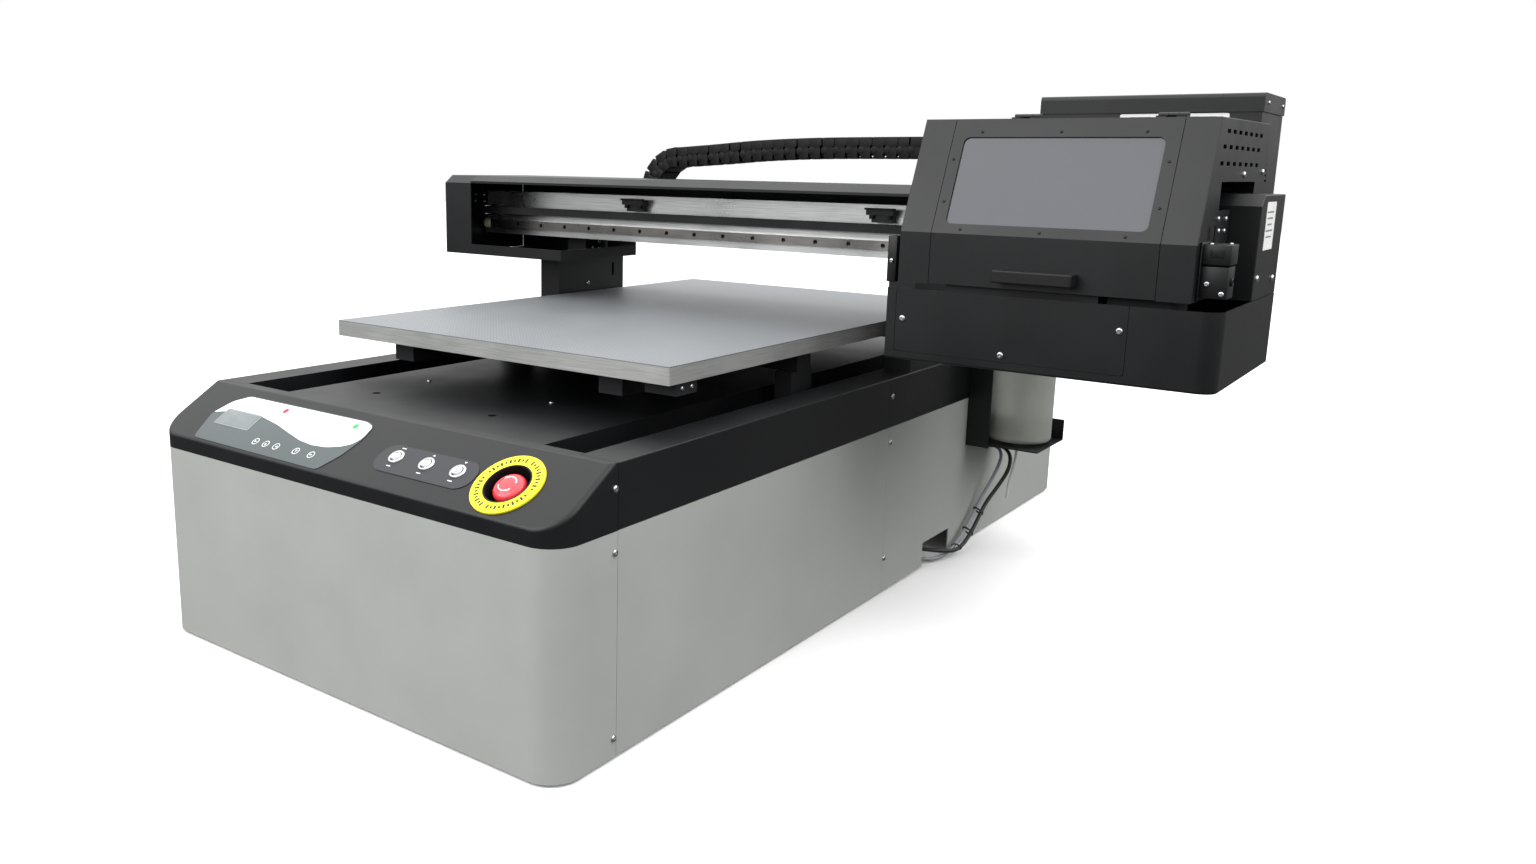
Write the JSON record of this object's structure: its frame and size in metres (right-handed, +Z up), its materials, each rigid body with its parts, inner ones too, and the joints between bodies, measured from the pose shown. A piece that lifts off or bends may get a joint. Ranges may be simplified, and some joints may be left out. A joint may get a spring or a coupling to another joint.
{
  "type": "flatbed uv printer",
  "caption": "Flatbed UV printer: grey base with a sliding vacuum table, a beam on two lift columns, a carriage with a windowed hood, and a station housing.",
  "frame": {"origin": "under the middle of the whole object, on the floor", "axes": "+X to the right along the beam, +Y from the console to the rear, +Z up"},
  "size_m": [1.423, 1.595, 0.7945],
  "materials": {
    "grey_steel": "satin",
    "black_steel": "satin",
    "chassis_steel": "satin",
    "table_aluminium": "brushed",
    "perforated_sheet": "matt",
    "profile_aluminium": "brushed",
    "rail_steel": "ground",
    "zinc_steel": "plated",
    "black_plastic": "moulded",
    "overlay_film": "printed film",
    "inlay_film": "printed film",
    "yellow_plastic": "moulded",
    "red_plastic": "moulded",
    "nickel": "polished",
    "smoked_glass": "tinted",
    "chain_plastic": "moulded",
    "bottle_plastic": "translucent",
    "cable_jacket": "extruded",
    "grey_tube": "extruded",
    "clear_tube": "extruded",
    "belt_rubber": "toothed",
    "cap_silicone": "moulded",
    "foot_rubber": "moulded"
  },
  "bodies": {
    "base": {"base_front_shell": "grey_steel", "side_panels_left": "grey_steel", "side_panels_right": "grey_steel", "rear_panel": "grey_steel", "power_inlet": "black_plastic", "floor_pan": "chassis_steel", "chassis_tubes": "chassis_steel", "levelling_feet": "foot_rubber", "console_shell": "black_steel", "control_overlay": "overlay_film", "button_inlay": "inlay_film", "estop_ring": "yellow_plastic", "side_frames_left": "black_steel", "side_frames_right": "black_steel", "deck_cover": "black_steel", "table_rails": "rail_steel", "table_motor": "black_plastic", "lift_columns": "black_steel", "waste_bottle": "bottle_plastic", "bottle_bracket": "black_steel", "base_screws": "zinc_steel", "power_cable": "cable_jacket", "ink_tube": "grey_tube", "drain_tube": "clear_tube"},
    "table": {"table_carrier": "chassis_steel", "table_subframe": "chassis_steel", "table_core": "table_aluminium", "table_skin": "perforated_sheet"},
    "feed_screw": {"table_screw": "rail_steel"},
    "gantry": {"gantry_feet": "black_steel", "beam_extrusion": "profile_aluminium", "x_rail": "rail_steel", "beam_cover": "black_steel", "beam_cap_left": "black_steel", "beam_cap_right": "black_steel", "drive_belt": "belt_rubber", "x_drive_mounts": "black_steel", "chain_tray": "black_steel", "chain_lower": "chain_plastic", "station_housing": "black_steel", "station_panel": "black_steel"},
    "caps": {"capping_station": "cap_silicone"},
    "idler": {"idler_pulley": "profile_aluminium"},
    "driver": {"drive_pulley": "profile_aluminium"},
    "chain_end": {"chain_bend": "chain_plastic"},
    "carriage": {"carriage_plate": "profile_aluminium", "print_head_box": "chassis_steel", "hood_shell": "black_steel", "crash_sensors": "black_steel", "ink_box": "black_steel", "chain_upper": "chain_plastic"},
    "door": {"hood_door": "black_steel", "hood_window": "smoked_glass", "hood_handle": "black_plastic"},
    "tank_lid": {"ink_lid": "black_steel"},
    "reset_key": {"reset_button": "nickel"},
    "up_key": {"up_button": "nickel"},
    "down_key": {"down_button": "nickel"},
    "stop_stem": {"estop_stem": "black_plastic"},
    "stop_head": {"estop_head": "red_plastic"}
  },
  "joints": [
    {"name": "table_travel", "type": "slide", "parent": "base", "child": "table", "axis": [0, 1, 0], "range_m": [-0.46, 0.435]},
    {"name": "feed_screw_turn", "type": "hinge", "parent": "base", "child": "feed_screw", "pos_m": [-0.1615, -0.6395, 0.262], "axis": [0, 1, 0], "range_deg": [-8300, 7850]},
    {"name": "gantry_lift", "type": "slide", "parent": "base", "child": "gantry", "axis": [0, 0, 1], "range_m": [0, 0.08]},
    {"name": "carriage_travel", "type": "slide", "parent": "gantry", "child": "carriage", "axis": [1, 0, 0], "range_m": [-0.95, 0], "deforming": ["chain_upper"]},
    {"name": "chain_travel", "type": "slide", "parent": "gantry", "child": "chain_end", "axis": [1, 0, 0], "range_m": [-0.475, 0]},
    {"name": "idler_turn", "type": "hinge", "parent": "gantry", "child": "idler", "pos_m": [-0.6865, 0.006, 0.585], "axis": [0, 0, 1], "range_deg": [-6000, 0]},
    {"name": "drive_turn", "type": "hinge", "parent": "gantry", "child": "driver", "pos_m": [0.6835, 0.006, 0.585], "axis": [0, 0, 1], "range_deg": [-6000, 0]},
    {"name": "door_hinge", "type": "hinge", "parent": "carriage", "child": "door", "pos_m": [0.4895, -0.1075, 0.748], "axis": [-1, 0, 0], "range_deg": [0, 95]},
    {"name": "lid_hinge", "type": "hinge", "parent": "carriage", "child": "tank_lid", "pos_m": [0.5095, 0.3361, 0.7915], "axis": [-1, 0, 0], "range_deg": [0, 100]},
    {"name": "cap_lift", "type": "slide", "parent": "gantry", "child": "caps", "axis": [0, 0, 1], "range_m": [-0.009, 0]},
    {"name": "reset_push", "type": "slide", "parent": "base", "child": "reset_key", "axis": [0, 0.5211, -0.8535], "range_m": [0, 0.0025], "stiffness_N_per_m": 400, "springref_m": -0.001},
    {"name": "up_push", "type": "slide", "parent": "base", "child": "up_key", "axis": [0, 0.5211, -0.8535], "range_m": [0, 0.0025], "stiffness_N_per_m": 400, "springref_m": -0.001},
    {"name": "down_push", "type": "slide", "parent": "base", "child": "down_key", "axis": [0, 0.5211, -0.8535], "range_m": [0, 0.0025], "stiffness_N_per_m": 400, "springref_m": -0.001},
    {"name": "stop_push", "type": "slide", "parent": "base", "child": "stop_stem", "axis": [0, 0.5211, -0.8535], "range_m": [0, 0.004], "stiffness_N_per_m": 600, "springref_m": -0.001},
    {"name": "stop_twist", "type": "hinge", "parent": "stop_stem", "child": "stop_head", "pos_m": [0.1075, -0.75482, 0.32305], "axis": [0, -0.5211, 0.8535], "range_deg": [-45, 0], "stiffness_Nm_per_rad": 0.05}
  ],
  "couplings": [
    {"joint": "feed_screw_turn", "follows": "table_travel", "rad_per_m": 314.16},
    {"joint": "chain_travel", "follows": "carriage_travel", "ratio": 0.5},
    {"joint": "idler_turn", "follows": "carriage_travel", "rad_per_m": 109.89},
    {"joint": "drive_turn", "follows": "carriage_travel", "rad_per_m": 109.89}
  ]
}
